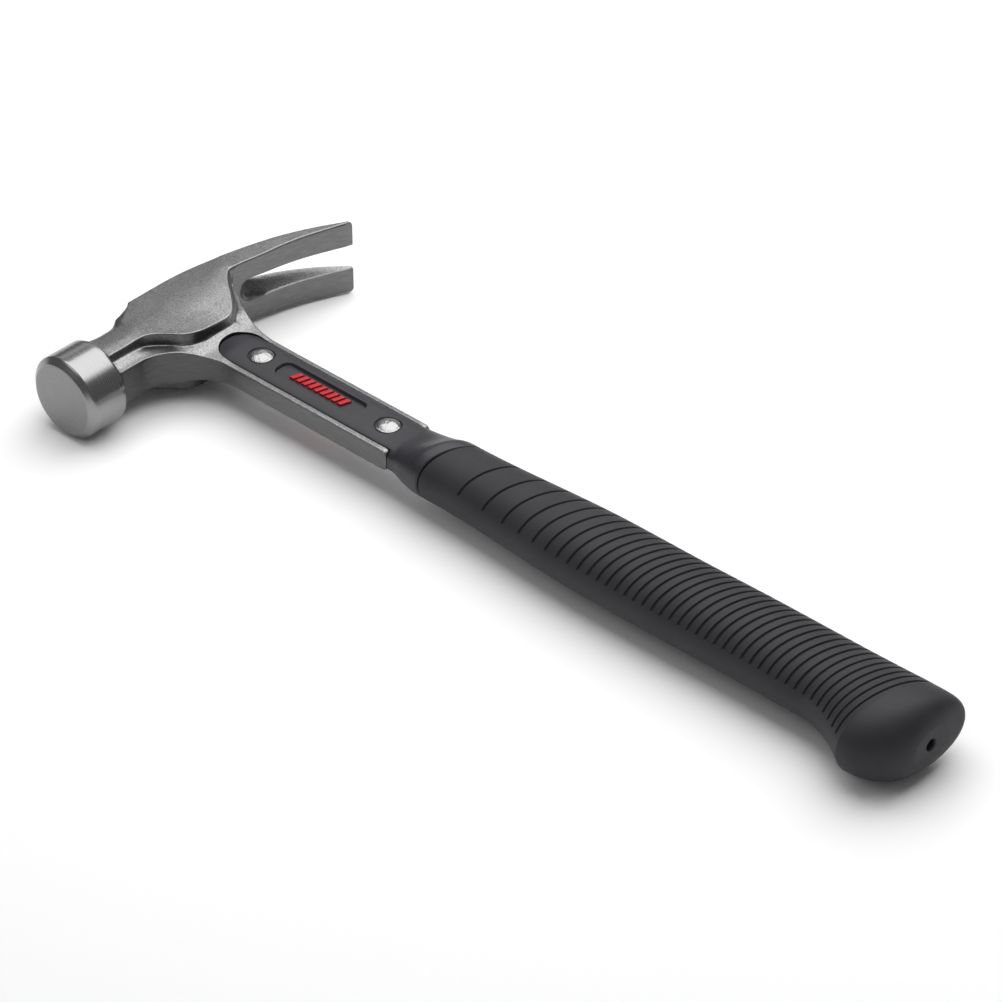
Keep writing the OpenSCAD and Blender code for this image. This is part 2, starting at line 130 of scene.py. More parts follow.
BROW_CUT = 0.5
CHEEK_CUT = 7.0
FOOT_CUT = [
    (-30, 1.6), (-25, 0.6), (-12, 0.7), (-4, 1.6), (10, 2), (14, 1.6), (19, 0.9), (22.5, 0.4),
    (24.5, 1.5), (29, 0.35)
]

# Plate and railed shank
FLARE_END = 33.0
FLARE_FRONT = 33.0
FLARE_REAR = 23.0
FLARE_LIP = 10.5
FLARE_PULL = 0.47
FLARE_FILLET = 2.5
REAR_FLARE_PULL = 19.0
REAR_FLARE_BEND = (11.6, 17.2)
SHANK_HALF_W = 11.2
SHANK_END = 110.5
RAIL_TOP = 4.2
RAIL_END_R = 2.2
POCKET_HALF_W = 9.1
POCKET_TIP = 20.4
POCKET_ROUND = 8.8
POCKET_ROUND_END = POCKET_TIP + POCKET_ROUND
POCKET_SQUARE = 2.2
POCKET_FLOOR = 1.9
PLATE_HALF_T = [
    (5.0, 6.9), (14.0, 6.8), (19.0, 5.95), (22.0, 5.3), (25.0, 4.95), (29.0, 4.65), (FLARE_END, RAIL_TOP)
]
PLATE_CLIMB = 6.0
PLATE_START = 3.0
PLATE_EDGE_R = 0.45
RAIL_EDGE_R = 0.8

# Finishes of the steel, and where painted shade darkens it
LATHE_END = BELL_BACK + 2.2
FACE_POLISH = 0.75
SEAT_START = -30.0
SEAT_END = -15.4
WALL_START = 7.0
WALL_HALF_H = 7.0
# How much the painted shade on the side walls lightens towards the shank
WALL_SHADE_FADE = 0.25
BEVEL_LOW = 6.5
BEVEL_HIGH = 12.6
# Strength of the painted shade on the claw's underside
CLAW_PAINTED_SHADE = 0.5

# Shaft
TONGUE_GAP = 0.16
TONGUE_TIP = POCKET_TIP + TONGUE_GAP
TONGUE_HALF_W = POCKET_HALF_W - TONGUE_GAP
TONGUE_EDGE_R = 0.35
CROWN = 1.5
CROWN_SQUARE = 2.7
TONGUE_TOP = RAIL_TOP + CROWN
TIP_SINK = 0.9
COLLAR_START = 110.8
COLLAR_END = 131.0
COLLAR_HALF_W = 13.4
COLLAR_TOP = 10.8
COLLAR_LEAN = 0.36
COLLAR_LEAN_END = 124.0
COLLAR_LINE = [
    (106.0, TONGUE_TOP), (112.0, 5.9), (116.0, 6.6), (120.0, 7.8), (124.0, 9.5), (126.4, 10.7),
    (128.0, 11.0), (COLLAR_END, COLLAR_TOP)
]
COLLAR_LIP = 1.0
COLLAR_TUCK = 0.8
LIP_SHARE = 0.09
PANEL_X = 67.6
PANEL_LEN = 40.0
PANEL_W = 8.2
PANEL_CORNER = 2.6
PANEL_DEPTH = 1.2
PANEL_EDGE = 0.7
PANEL_FLOOR = TONGUE_TOP - PANEL_DEPTH

# Rivets and inlays
RIVET_PLACES = {"upper_rivet": 38.0, "lower_rivet": 100.8}
RIVET_HEAD_R = 4.45
RIVET_HEAD_H = 1.5
RIVET_R = 2.5
RIVET_RIM = 0.2
RIVET_RIM_DROP = 0.25
RIVET_SEAT = TONGUE_TOP - 0.3
RECESS_R = 4.9
RECESS_EDGE = 0.35
RECESS_FLOOR = TONGUE_TOP - 0.7
RIVET_BASE = RECESS_FLOOR - 0.1
INLAY_LEN = 27.6
INLAY_W = 4.4
INLAY_TOP = 0.8
INLAY_BARS = 9
BAR_SLOPE = 0.3
BAR_SINK = 0.15

# Magnet
MAGNET_X = -11.1
MAGNET_Y = -20.9
MAGNET_R = 2.8
MAGNET_T = 3.0
MAGNET_RIM = 0.25
MAGNET_PROUD = 0.05

# Grip
GRIP_START = COLLAR_END + 0.6
GRIP_LIP = 1.2
GRIP_HALF_W = 16.9
GRIP_TOP = 12.1
SWELL_LEN = 76.0
SWEEP = 0.6
SWEEP_START = 228.0
SWEEP_LEN = 45.0
HOOK_START = 301.0
HOOK_TIP = 329.0
HOOK_POWER = 1.7
HOOK_REACH = 13.6
BUTT_END = 345.0
BUTT_TOP = 15.0
BUTT_LEAN = 0.27
CAP_LEN = 12.3
CAP_START = BUTT_END - CAP_LEN
CAP_END_SCALE = 0.42
CAP_SQUARE = 3.0
CAP_CENTRE = 0.6
CAP_LEVEL = 4
OVAL_SQUARE = 2.1
HOLE_Y = -2.8
HOLE_R = 2.2
HOLE_RIM = 0.5
HOLE_DEPTH = 16.0
GROOVES = 40
GROOVE_FIRST = 150.7
GROOVE_GAP = 3.78
GROOVE_GAP_EXTRA = 8.42
GROOVE_GAP_FADE = 0.725
GROOVE_HALF_W = 0.5
GROOVE_DEPTH = 0.8
PLAIN_TOP = 4.8
PLAIN_BOTTOM = -8.6


# Curves

def ease(t):
    """Half a cosine wave: 0 up to t = 0, 1 from t = 1, level at both ends."""
    return 0.5 - 0.5 * np.cos(np.pi * np.clip(t, 0, 1))


def smooth(knots, at):
    """The curve through (place, value) knots: cubic pieces whose slope at a knot is the harmonic mean of
    the two chords there, or level where they turn, so the curve never overshoots. Constant past the ends."""
    place, value = np.array(knots, float).T
    step = np.diff(place)
    chord = np.diff(value) / step
    before, after = chord[:-1], chord[1:]
    turning = before * after <= 0
    mean = 2 * before * after / np.where(turning, 1, before + after)
    slope = np.concatenate([chord[:1], np.where(turning, 0, mean), chord[-1:]])
    at = np.clip(at, place[0], place[-1])
    i = np.clip(np.searchsorted(place, at) - 1, 0, len(step) - 1)
    t = (at - place[i]) / step[i]
    hold = (1 + 2 * t) * (1 - t) ** 2
    lift = step[i] * t * (1 - t) * ((1 - t) * slope[i] - t * slope[i + 1])
    return hold * value[i] + (1 - hold) * value[i + 1] + lift


def bezier(start, pull_start, pull_end, end, steps=400):
    """Points of the cubic curve from start to end that the two pulling points draw out."""
    t = np.linspace(0, 1, steps + 1)[:, None]
    from_start = (1 - t) ** 3 * np.array(start) + 3 * t * (1 - t) ** 2 * np.array(pull_start)
    return from_start + 3 * t ** 2 * (1 - t) * np.array(pull_end) + t ** 3 * np.array(end)


def rounded(corners, cuts, counts, arc=5):
    """Points along the straight lines from corner to corner, for every station at once. At an inner corner
    both lines stop short by its cut and a parabola joins the stops. counts holds the steps on each line,
    which grow shorter towards its ends so that shading stays crisp."""
    line = np.diff(corners, axis=0)
    length = np.linalg.norm(line, axis=-1, keepdims=True)
    along = line / np.maximum(length, TINY)
    cut = np.minimum(np.asarray(cuts)[..., None], 0.45 * np.minimum(length[:-1], length[1:]))
    start = corners[:-1].copy()
    end = corners[1:].copy()
    start[1:] += cut * along[1:]
    end[:-1] -= cut * along[:-1]
    rows = []
    for k, count in enumerate(counts):
        t = ease(np.linspace(0, 1, count + 1))[:, None, None]
        rows.append(start[k] + t * (end[k] - start[k]))
        if k + 1 < len(counts):
            t = np.linspace(0, 1, arc + 1)[1:-1, None, None]
            rows.append((1 - t) ** 2 * end[k] + 2 * t * (1 - t) * corners[k + 1] + t ** 2 * start[k + 1])
    return np.concatenate(rows)


def fillet(distance, radius):
    """How far a surface drops near its edge when the edge is rounded by a quarter circle of that radius."""
    inside = np.clip(radius - distance, 0, radius)
    return radius - np.sqrt(radius ** 2 - inside ** 2)


def spaced(start, end, step):
    """Even places from start up to, but without, end."""
    count = max(1, round((end - start) / step))
    return np.linspace(start, end, count, endpoint=False)


def points(x, y, z):
    """One array of points from arrays of coordinates of matching shapes."""
    return np.stack(np.broadcast_arrays(x, y, z), -1).astype(float)


def flipped(patches):
    """The patches and their mirror images below the middle plane."""
    return patches + [patch * [1, 1, -1] for patch in patches]


def shell(name, patches):
    """A closed piece from grids of points that share their borders. The borders are merged, a flat opening
    gets one face, and every face turns outwards. Edges sharper than CREASE_ANGLE stay crisp."""
    faces = []
    first = 0
    for patch in patches:
        rows, columns = patch.shape[:2]
        index = first + np.arange(rows * columns).reshape(rows, columns)
        corners = (index[:-1, :-1], index[1:, :-1], index[1:, 1:], index[:-1, 1:])
        faces.append(np.stack(corners, -1).reshape(-1, 4))
        first += rows * columns
    places = STRIKE_POINT + MM * np.concatenate([patch.reshape(-1, 3) for patch in patches])
    mesh = bpy.data.meshes.new(name)
    mesh.from_pydata(places.tolist(), [], np.concatenate(faces).tolist())
    work = bmesh.new()
    work.from_mesh(mesh)
    bmesh.ops.remove_doubles(work, verts=work.verts, dist=MERGE)
    bmesh.ops.holes_fill(work, edges=work.edges, sides=0)
    bmesh.ops.recalc_face_normals(work, faces=work.faces)
    work.to_mesh(mesh)
    work.free()
    mesh.polygons.foreach_set("use_smooth", np.ones(len(mesh.polygons), bool))
    mesh.set_sharp_from_angle(angle=math.radians(CREASE_ANGLE))
    piece = bpy.data.objects.new(name, mesh)
    bpy.context.scene.collection.objects.link(piece)
    return piece


def hand_over(piece, material, node):
    """Gives a piece its finish, and lets it ride with the hammer in place of its CAD node."""
    piece.data.materials.append(material)
    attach(piece, "root")
    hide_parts(node)


# Head: a half profile in x and z, carried from the face along y to the claw's tips

def sag(y):
    """How far the circle of the claw's back has dropped at y."""
    run = np.maximum(0, y - CLAW_BEND)
    return CLAW_R - np.sqrt(CLAW_R ** 2 - run ** 2)


def top_x(y):
    """The head's top line: neck, a step up to the nail seat, a step up to the cheeks, then the claw's arc."""
    return smooth(TOP_LINE, y) + sag(y)


def claw_half_w(y):
    """Half the claw's width, rounded off at the tips' outer corners."""
    return smooth(CLAW_HALF_W, y) - fillet(CLAW_TIP - y, TIP_CORNER) * (y > CLAW_TIP - TIP_CORNER)


def round_ended(y, root, radius, wall):
    """Half the width of a slot: 0 before its root, half a circle, then the wall's own half width."""
    middle = root + radius
    arc = np.sqrt(np.clip(radius ** 2 - (middle - y) ** 2, 0, None))
    return np.where(y < root, 0, np.where(y < middle, arc, wall))


def slot_half_w(y):
    """Half the claw's slot at its back, a narrow round root that opens to the tips."""
    return round_ended(y, SLOT_ROOT, SLOT_R, smooth(SLOT_HALF_W, y))


def hollow_half_w(y):
    """Half the claw's slot at its underside, which begins nearer the handle and is wider."""
    middle = HOLLOW_ROOT + HOLLOW_R
    wall = HOLLOW_R + (HOLLOW_TIP_HALF_W - HOLLOW_R) * (y - middle) / (CLAW_TIP - middle)
    return round_ended(y, HOLLOW_ROOT, HOLLOW_R, wall)


def under_x(y):
    """The claw's underside, with a round fillet where it runs into the rear flare."""
    fillet_left = np.clip(1 - (y - FLARE_REAR) / FLARE_FILLET, 0, 1)
    return top_x(y) + smooth(CLAW_T, y) + FLARE_FILLET * fillet_left ** 2


def pocket_edge(y):
    """Where the pocket's rounded end lies: a squarish half oval."""
    return POCKET_TIP + POCKET_ROUND * (
        1 - np.clip(1 - np.abs(y / POCKET_HALF_W) ** POCKET_SQUARE, 0, 1) ** (1 / POCKET_SQUARE)
    )


FRONT_FLARE = bezier(
    (FLARE_LIP, -FLARE_FRONT),
    (FLARE_LIP, -FLARE_FRONT + FLARE_PULL * (FLARE_FRONT - SHANK_HALF_W)),
    (FLARE_END - FLARE_PULL * (FLARE_END - FLARE_LIP), -SHANK_HALF_W),
    (FLARE_END, -SHANK_HALF_W),
)
REAR_FLARE = bezier(
    (FLARE_END, SHANK_HALF_W), (REAR_FLARE_PULL, SHANK_HALF_W), REAR_FLARE_BEND, (0, FLARE_REAR)
)


def plate_edge(y):
    """Where the plate ends in x: the flares, the start of the rails, or the pocket's edge."""
    front = np.interp(y, FRONT_FLARE[:, 1], FRONT_FLARE[:, 0])
    rear = np.interp(y, REAR_FLARE[:, 1], REAR_FLARE[:, 0])
    across = (np.abs(y) - POCKET_HALF_W) / (SHANK_HALF_W - POCKET_HALF_W)
    rail = POCKET_ROUND_END + (FLARE_END - POCKET_ROUND_END) * across
    pocket = pocket_edge(np.clip(y, -POCKET_HALF_W, POCKET_HALF_W))
    inner = np.where(np.abs(y) > POCKET_HALF_W, rail, pocket)
    flare = np.where(y < 0, front, rear)
    plate = np.where(np.abs(y) > SHANK_HALF_W, flare, inner)
    return np.where(y > FLARE_REAR, under_x(y), plate)


def outer_distance(x, y):
    """Distance in plan from the plate's outer edge: both flares, the rails' sides and the neck's lip."""
    run = np.linspace(0, 1, 300)[:, None]
    rails = [[FLARE_END, side * SHANK_HALF_W] + run * [SHANK_END - FLARE_END, 0] for side in (-1, 1)]
    lip = [FLARE_LIP, NECK] + run * [0, NECK + FLARE_FRONT]
    edge = np.concatenate([FRONT_FLARE, REAR_FLARE, lip, *rails])
    flat = np.stack([x.ravel(), y.ravel()], -1)
    nearest = []
    for part in np.array_split(flat, 8):
        apart = part[:, None] - edge
        nearest.append(np.min(np.hypot(apart[..., 0], apart[..., 1]), 1))
    return np.concatenate(nearest).reshape(x.shape)


def plate_height(x, foot_x, foot_z):
    """Height of the plate's upper side: its thinning profile, and a climb to the foot of the bevel."""
    climb = np.clip(1 - (x - foot_x) / PLATE_CLIMB, 0, 1) ** 2
    return smooth(PLATE_HALF_T, x) + (foot_z - smooth(PLATE_HALF_T, foot_x)) * climb


def head_corners(y):
    """The half profile's corners at each y, from the middle of the top: nail groove, brow, temple, crowned
    cheek, the bevel under it and the start of the plate. Then the plate's own rows, out to its edge. Each
    corner follows smooth curves along y, which half a cosine wave turns into the claw's own section."""
    top = top_x(y)
    slot = slot_half_w(y)
    hollow = hollow_half_w(y)
    half_w = claw_half_w(y)
    thick = smooth(CLAW_T, y)
    claw = ease((y - CLAW_START) / CLAW_PASSAGE)
    spread = 1 - slot / half_w

    groove = smooth(NAIL_GROOVE_DROP, y)
    brow_x = top + smooth(BROW_DROP, y)
    brow_z = smooth(BROW_Z, y)
    temple_x = top + smooth(TEMPLE_DROP, y)
    temple_z = smooth(TEMPLE_Z, y)
    cheek_x = smooth(CHEEK_X, y)
    cheek_z = smooth(CHEEK_Z, y)
    lower_x = smooth(BEVEL_TOP_X, y)
    lower_z = smooth(BEVEL_TOP_Z, y)
    base_x = smooth(BEVEL_FOOT_X, y)
    base_z = smooth(BEVEL_FOOT_Z, y)
    edge_x = plate_edge(y)
    edge_z = plate_height(edge_x, base_x, base_z)
    start_x = base_x + np.clip(0.45 * (edge_x - base_x), 0.02, PLATE_START)
    start_z = plate_height(start_x, base_x, base_z)
    slope = (plate_height(start_x + TINY_STEP, base_x, base_z) - start_z) / TINY_STEP
    foot_z = start_z - slope * (start_x - base_x)

    def towards_claw(body, tine):
        """Passes from the body's value to the tine's as the cheeks run out into the claw."""
        return body + (tine - body) * claw

    under = under_x(y)
    chamfer = np.minimum(CLAW_CHAMFER, 0.3 * thick)
    middle = hollow + 0.5 * (half_w - hollow)
    corners = [
        (top + groove, slot),
        (top + groove, slot + NAIL_GROOVE_FLOOR * spread),
        (top, slot + NAIL_GROOVE_EDGE * spread),
        (towards_claw(brow_x, top), towards_claw(brow_z, half_w - chamfer)),
        (towards_claw(temple_x, top + chamfer), towards_claw(temple_z, half_w)),
        (towards_claw(cheek_x, top + 0.5 * thick), towards_claw(cheek_z, half_w)),
        (towards_claw(lower_x, top + thick - 0.7 * chamfer), towards_claw(lower_z, half_w)),
        (towards_claw(base_x, under), towards_claw(foot_z, half_w - 0.7 * chamfer)),
        (towards_claw(start_x, under), towards_claw(start_z, 0.8 * half_w + 0.2 * middle)),
    ]
    # The plate's rows gather towards its edge
    t = 1 - (1 - np.linspace(0, 1, 19)[1:, None]) ** 1.8
    plate_x = corners[-1][0] + t * (edge_x - corners[-1][0])
    flat_z = corners[-1][1] + t * (towards_claw(edge_z, middle) - corners[-1][1])
    plate_z = plate_height(plate_x, base_x, base_z)
    plate = points(plate_x, y, plate_z + claw * (flat_z - plate_z))
    return np.array([points(x, y, z) for x, z in corners]), plate


def head_skin(y):
    """The half profile at each y as rows of points. Parabolas round its corners, more so on the neck, and
    a quarter circle rounds the plate's edge."""
    neck = 1 - ease((y - NECK_END) / NECK_FADE)
    still = np.ones_like(y)
    bevel_cut = 0.6 + 0.5 * ease((y - 8) / 6)
    cuts = np.array([
        GROOVE_CUT * still, GROOVE_CUT * still, BROW_CUT + 4 * neck, BROW_CUT + 3 * neck, CHEEK_CUT * still,
        bevel_cut, smooth(FOOT_CUT, y)
    ])
    corners, plate = head_corners(y)
    skin = rounded(corners, cuts, (2, 3, 6, 4, 8, 12, 6, 3))
    radius = np.where(y < 0, PLATE_EDGE_R, RAIL_EDGE_R * (1 - ease((y - 16) / 5))) + TINY
    plate[..., 2] -= fillet(outer_distance(plate[..., 0], plate[..., 1]), radius)
    return np.concatenate([skin, plate])


def down_to(edge, level, steps):
    """A wall from a row of points straight up or down to a level, one level for each point."""
    t = np.linspace(0, 1, steps + 1)[:, None]
    wall = np.repeat(edge[None], steps + 1, 0)
    wall[..., 2] += t * (level - edge[:, 2])
    return wall


def bell_patch(neck_ring):
    """Circles about the strike axis from the middle of the face over its chamfer to the back of the bell,
    then rings that pass into the neck's own profile, slowly at the top and quickly elsewhere."""
    turning = np.arctan2(neck_ring[:, 2], neck_ring[:, 0])
    outline = np.array([
        [0, -FACE_REACH], [FACE_R, -FACE_REACH], [BELL_R, FACE_CHAMFER - FACE_REACH], [BELL_R, BELL_BACK]
    ])[:, None]
    radius, y = rounded(outline, np.full((2, 1), BELL_EDGE), (6, 3, 6))[:, 0].T
    circles = points(radius[:, None] * np.cos(turning), y[:, None], radius[:, None] * np.sin(turning))
    back_y = np.concatenate([spaced(BELL_BACK, -42, 0.15)[1:], spaced(-42, NECK, 0.4)])
    quick = smooth(BELL_FADE, back_y)[:, None]
    slow = smooth(BELL_FADE_TOP, back_y)[:, None]
    at_top = ease((-np.cos(turning) - 0.35) / 0.5)
    keep = quick + at_top * (slow - quick)
    blended_x = keep * BELL_R * np.cos(turning) + (1 - keep) * neck_ring[:, 0]
    blended_z = keep * BELL_R * np.sin(turning) + (1 - keep) * neck_ring[:, 2]
    return np.concatenate([circles, points(blended_x, back_y[:, None], blended_z), neck_ring[None]])


def rail_patch(start, end_x):
    """The top of a rail: straight lines from the row of points where the plate passes into it, and a quarter
    circle down at its end. Another quarter circle rounds its outer edge."""
    t = np.concatenate([np.linspace(0, 1, 24), np.ones(6)])[:, None]
    curl = np.concatenate([np.zeros(24), np.sin(np.linspace(0, np.pi / 2, 7)[1:])])[:, None]
    straight = end_x - RAIL_END_R
    x = start[:, 0] + t * (straight - start[:, 0]) + curl * RAIL_END_R
    y = np.broadcast_to(start[:, 1], x.shape)
    top = smooth(PLATE_HALF_T, x) - RAIL_END_R * (1 - np.sqrt(1 - curl ** 2))
    z = top - fillet(SHANK_HALF_W - np.abs(y), RAIL_EDGE_R)
    z[0] = start[:, 2]
    return points(x, y, z)


def slot_patch(under, back):
    """The slot's wall from its broken edge on the underside to its edge on the back. Before the slot breaks
    through, the wall is the roof of a hollow that climbs to the slot's root on the middle plane."""
    y = under[:, 1]
    climb = np.sin(np.pi / 2 * np.clip((y - HOLLOW_ROOT) / (SLOT_ROOT - HOLLOW_ROOT), 0, 1))
    end_x = under[:, 0] + climb * (back[:, 0] - under[:, 0])
    broken = under[:, 2] - hollow_half_w(y)
    start_x = under[:, 0] - broken * climb
    straight = ease((y - SLOT_ROOT) / 8)
    t = np.linspace(0, 1, 15)[:, None]
    inward = straight * t + (1 - straight) * (1 - np.cos(t * np.pi / 2))
    upward = straight * t + (1 - straight) * np.sin(t * np.pi / 2)
    start_z = under[:, 2] - broken
    opening = straight * t + (1 - straight) * t ** 5
    wall = points(start_x + upward * (end_x - start_x), y, start_z * (1 - inward) + opening * back[:, 2])
    return np.concatenate([under[None], wall])


def head_patches():
    """All the grids of the upper half of the forging, sharing their borders. Rows lie closest where the
    profile turns quickly."""
    near_rail = 0.02 * np.arange(9, 0, -1) ** 2
    rail_y = SHANK_HALF_W - np.array([0, 0.03, 0.1, 0.2, 0.4, 0.7, 1.3, 1.9, SHANK_HALF_W - POCKET_HALF_W])
    pocket_y = POCKET_HALF_W * np.sin(np.radians(np.linspace(-90, 90, 61)[1:-1]))
    quarter = 1 - np.cos(np.radians(np.linspace(0, 90, 16)))
    front_y = np.concatenate([
        spaced(NECK, -27.6, 0.5), spaced(-27.6, -23.6, 0.2), spaced(-23.6, -17.6, 0.4),
        spaced(-17.6, -14.8, 0.2), spaced(-14.8, -13.0, 0.4), -SHANK_HALF_W - near_rail
    ])
    rear_y = np.concatenate([
        SHANK_HALF_W + near_rail[::-1], spaced(SHANK_HALF_W + 2, HOLLOW_ROOT, 0.3),
        HOLLOW_ROOT + HOLLOW_R * quarter, spaced(HOLLOW_ROOT + HOLLOW_R, SLOT_ROOT, 0.3)[1:],
        SLOT_ROOT + SLOT_R * quarter,
        spaced(SLOT_ROOT + SLOT_R, 70.8, 1.4)[1:], np.linspace(70.8, CLAW_TIP, 14)
    ])
    y = np.concatenate([front_y, -rail_y, pocket_y, rail_y[::-1], rear_y])
    skin = head_skin(y)
    edge = skin[-1]

    front = slice(0, len(front_y) + 1)
    front_rail = slice(len(front_y), len(front_y) + len(rail_y))
    pocket = slice(front_rail.stop - 1, front_rail.stop + len(pocket_y) + 1)
    rear_rail = slice(pocket.stop - 1, pocket.stop - 1 + len(rail_y))
    rear = slice(rear_rail.stop - 1, len(y))
    slotted = y >= HOLLOW_ROOT

    front_wall = down_to(edge[front], 0, 6)
    hollow = hollow_half_w(y[rear])
    rear_wall = down_to(edge[rear], hollow + np.minimum(SLOT_EDGE, 0.3 * hollow), 6)
    neck_ring = np.concatenate([skin[:, 0], front_wall[1:, 0]])
    slot = slot_patch(rear_wall[-1][slotted[rear]], skin[0][slotted])
    patches = [bell_patch(neck_ring), skin, front_wall, rear_wall, slot]

    rails = [rail_patch(edge[part], SHANK_END) for part in (front_rail, rear_rail)]
    for rail, outer, inner in zip(rails, (0, -1), (-1, 0)):
        patches += [rail, down_to(rail[:, outer], 0, 6), down_to(rail[:, inner], POCKET_FLOOR, 3)]
    pocket_wall = down_to(edge[pocket], POCKET_FLOOR, 3)
    rail_x = rails[0][1:, -1, 0]
    floor_y = edge[pocket, 1]
    floor = points(rail_x[:, None], floor_y, POCKET_FLOOR)
    patches += [pocket_wall, np.concatenate([pocket_wall[-1][None], floor])]
    return patches


def mark_finishes_and_shade(piece):
    """Stores for the steel's material which faces are turned (the bell, and less so its face), how much
    painted shade darkens each face's colour (full on the side walls and the bell's face, half on the claw's
    underside, some on the bevel and nail seat, all turned away from the softbox), and which are brushed (the
    side walls and the claw's underside)."""
    mesh = piece.data
    count = len(mesh.polygons)
    centre = np.empty(count * 3)
    normal = np.empty(count * 3)
    mesh.polygons.foreach_get("center", centre)
    mesh.polygons.foreach_get("normal", normal)
    x, y, z = ((centre.reshape(-1, 3) - STRIKE_POINT) / MM).T
    normal_x, normal_y, normal_z = normal.reshape(-1, 3).T
    turned = y < LATHE_END
    face = turned & (normal_y < -0.95)
    upright = np.abs(normal_z) < 0.35
    wall = upright & (np.abs(z) < WALL_HALF_H) & (x > WALL_START) & (y < FLARE_REAR) & ~turned
    # Painted shade on the nail seat, whose faces here turn away from the softbox, fading in from its start
    upward = ease((-normal_x - 0.1) / 0.35)
    seat = upward * ease((y - SEAT_START) / 5) * (y < SEAT_END)
    claw_under = (y > FLARE_REAR - 1) & (normal_x > 0.5) & (np.abs(z) > hollow_half_w(y))
    brushed = wall | claw_under
    # Painted shade on the bevel under the cheeks, which faces away from the softbox: weaker at the neck, gone
    # towards the claw
    under_cheek = (normal_x > 0.2) & (np.abs(z) > BEVEL_LOW) & (np.abs(z) < BEVEL_HIGH) & ~turned
    growing = 0.4 + 0.5 * ease((y + 31) / 9)
    fading = 1 - ease((y + 2) / 12)
    bevel = ease((0.9 - np.abs(normal_z)) / 0.4) * growing * fading * under_cheek
    # Painted shade on the side walls, a little lighter towards the shank
    wall_painted_shade = 1 - WALL_SHADE_FADE * ease((x - FLARE_END + 8) / 16)
    # Painted shade per face: side walls and the bell's face in full, the claw's underside by half, else bevel
    # or seat
    painted_shade = np.select([wall, face, claw_under], [wall_painted_shade, 1.0, CLAW_PAINTED_SHADE], np.maximum(bevel, seat))
    turned = np.where(face, FACE_POLISH, turned)
    for name, value in (("turned", turned), ("painted_shade", painted_shade), ("brushed", brushed)):
        mesh.attributes.new(name, "FLOAT", "FACE").data.foreach_set("value", value.astype(float))


# Shaft: a tongue in each pocket that rises into the collar

def tongue_half_w(x):
    """Half the tongue's width: the pocket's squarish round end, then straight."""
    back = np.clip((POCKET_ROUND_END - x) / (POCKET_ROUND - TONGUE_GAP), 0, 1)
    return TONGUE_HALF_W * (1 - back ** POCKET_SQUARE) ** (1 / POCKET_SQUARE)


def shaft_section(x):
    """Half width, half thickness and squareness of the shaft at x: crowned between the rails, then ramping
    up into the collar's oval."""
    grow = ease((x - COLLAR_START) / (COLLAR_END - COLLAR_START))
    line = smooth(COLLAR_LINE, x)
    rise = np.clip((line - TONGUE_TOP) / (COLLAR_TOP - TONGUE_TOP), 0, 1)
    half_w = SHANK_HALF_W + (COLLAR_HALF_W - SHANK_HALF_W) * grow
    top = line - TIP_SINK * (1 - ease((x - POCKET_TIP) / POCKET_ROUND))
    return half_w, top, CROWN_SQUARE + (OVAL_SQUARE - CROWN_SQUARE) * rise


def shaft_height(x, y):
    """Height of the shaft's upper side: a superellipse across y."""
    half_w, top, square = shaft_section(x)
    return top * np.clip(1 - np.abs(y / half_w) ** square, 0, 1) ** (1 / square)


def recess_sink(x, y, height):
    """Depth of the round recesses that hold the rivets' heads, below a surface of that height."""
    sink = 0
    for place in RIVET_PLACES.values():
        inside = ease((RECESS_R - np.hypot(x - place, y)) / RECESS_EDGE + 0.5)
        sink = sink + inside * np.maximum(0, height - RECESS_FLOOR)
    return sink


def panel_sink(x, y):
    """Depth of the sunk panel, from the signed distance to its outline, a rectangle with round corners."""
    out_x = np.abs(x - PANEL_X) - PANEL_LEN / 2 + PANEL_CORNER
    out_y = np.abs(y) - PANEL_W / 2 + PANEL_CORNER
    outside = np.hypot(np.maximum(out_x, 0), np.maximum(out_y, 0))
    distance = outside + np.minimum(np.maximum(out_x, out_y), 0) - PANEL_CORNER
    return PANEL_DEPTH * ease(0.5 - distance / PANEL_EDGE)


def collar_lean(x):
    """How far the shaft's rows lean back for each millimetre of y: not at all on the tongue, then by half a
    cosine wave up to the collar's own lean."""
    return COLLAR_LEAN * ease((x - COLLAR_START) / (COLLAR_LEAN_END - COLLAR_START))


def tongue_rows():
    """Places of the rows along the tongue: by angle round its tip, and closest at the panel's two ends."""
    turn = np.radians(np.linspace(0, 90, 31))
    tip_x = POCKET_ROUND_END - (POCKET_ROUND_END - TONGUE_TIP) * np.cos(turn) ** (2 / POCKET_SQUARE)
    low_end = PANEL_X - PANEL_LEN / 2
    high_end = PANEL_X + PANEL_LEN / 2
    return np.concatenate([
        tip_x[:-1], spaced(POCKET_ROUND_END, low_end - 1, 0.2), spaced(low_end - 1, low_end + 3, 0.14),
        spaced(low_end + 3, high_end - 3, 1.1), spaced(high_end - 3, high_end + 1, 0.14),
        spaced(high_end + 1, COLLAR_START, 0.2)
    ])


def shaft_top(x):
    """The top of tongue and collar at rows x, as wide as the tongue: the superellipse's height less the
    panel, the recesses and a quarter circle along the tongue's edge."""
    near_edge = [0.95, 0.97, 0.985, 0.995, 1]
    half = np.concatenate([np.linspace(0, 0.6, 28), np.linspace(0.64, 0.92, 7), near_edge])
    y = tongue_half_w(x)[:, None] * np.concatenate([-half[:0:-1], half])
    x = x[:, None]
    in_round = np.clip((POCKET_ROUND_END - x) / (POCKET_ROUND_END - TONGUE_TIP), 0, 1)
    reach = (in_round ** POCKET_SQUARE + np.abs(y / TONGUE_HALF_W) ** POCKET_SQUARE) ** (1 / POCKET_SQUARE)
    z = shaft_height(x, y)
    z = z - panel_sink(x, y) - recess_sink(x, y, z)
    z = z - fillet((1 - reach) * TONGUE_HALF_W, TONGUE_EDGE_R) * (x < COLLAR_START)
    return points(x + collar_lean(x) * y, y, z)


